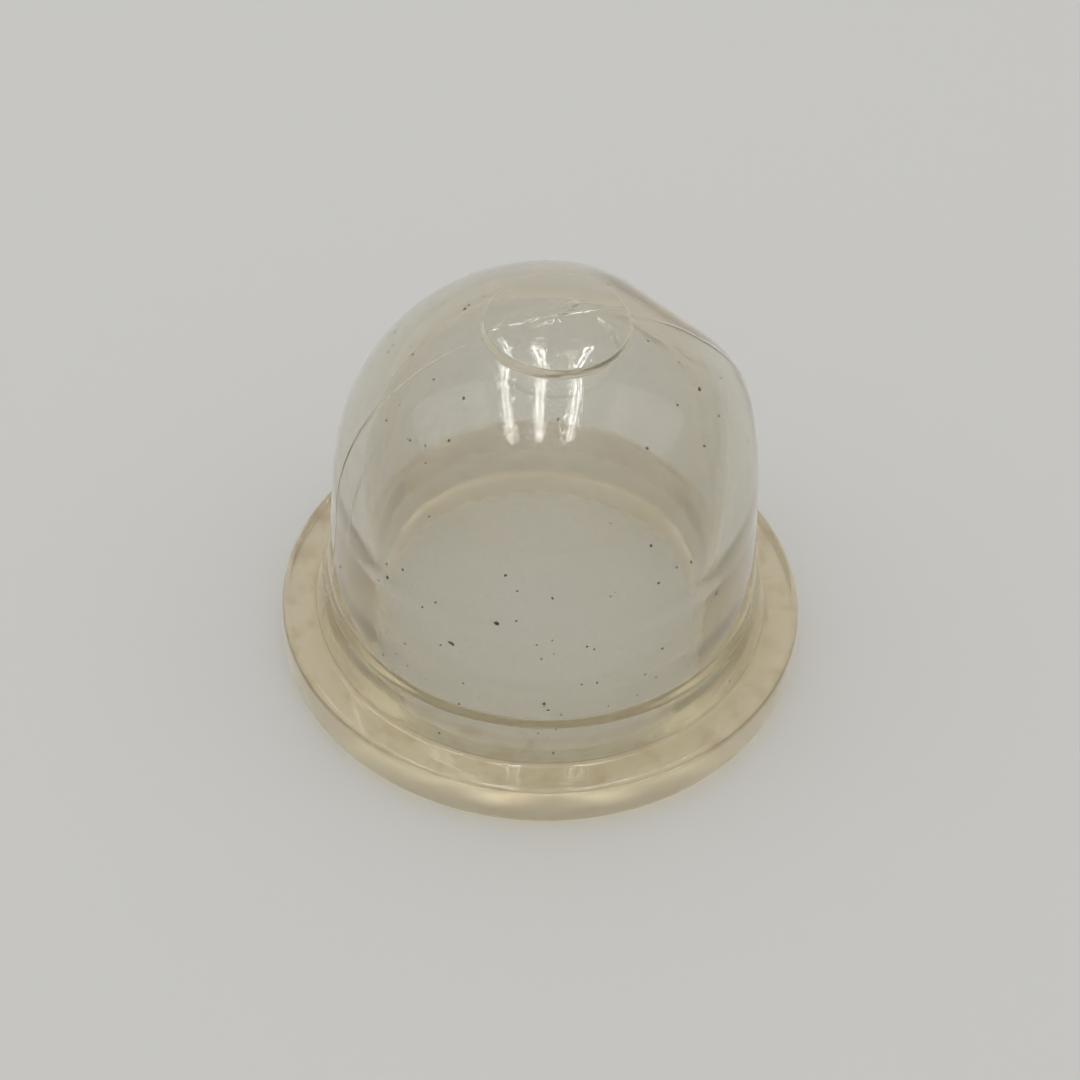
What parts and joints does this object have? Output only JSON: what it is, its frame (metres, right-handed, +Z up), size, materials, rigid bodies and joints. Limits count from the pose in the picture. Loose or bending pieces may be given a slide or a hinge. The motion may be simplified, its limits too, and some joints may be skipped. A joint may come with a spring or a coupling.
{
  "type": "primer bulb",
  "caption": "Clear hollow dome on a flat round flange with a thick collar and a raised pad on top; squeezed by a finger to pump fuel.",
  "frame": {"origin": "middle of the flange's flat underside, on the dome's axis", "axes": "+Z up along the dome's axis, from the open mouth to the pad; +X to the right and +Y away from the front, as the picture sees it"},
  "size_m": [0.022, 0.022, 0.0178],
  "materials": {
    "clear_plastic": "clear flexible plastic, slightly yellowed, glossy, with fine dust specks"
  },
  "bodies": {
    "root": {"bulb": "clear_plastic"}
  },
  "joints": []
}
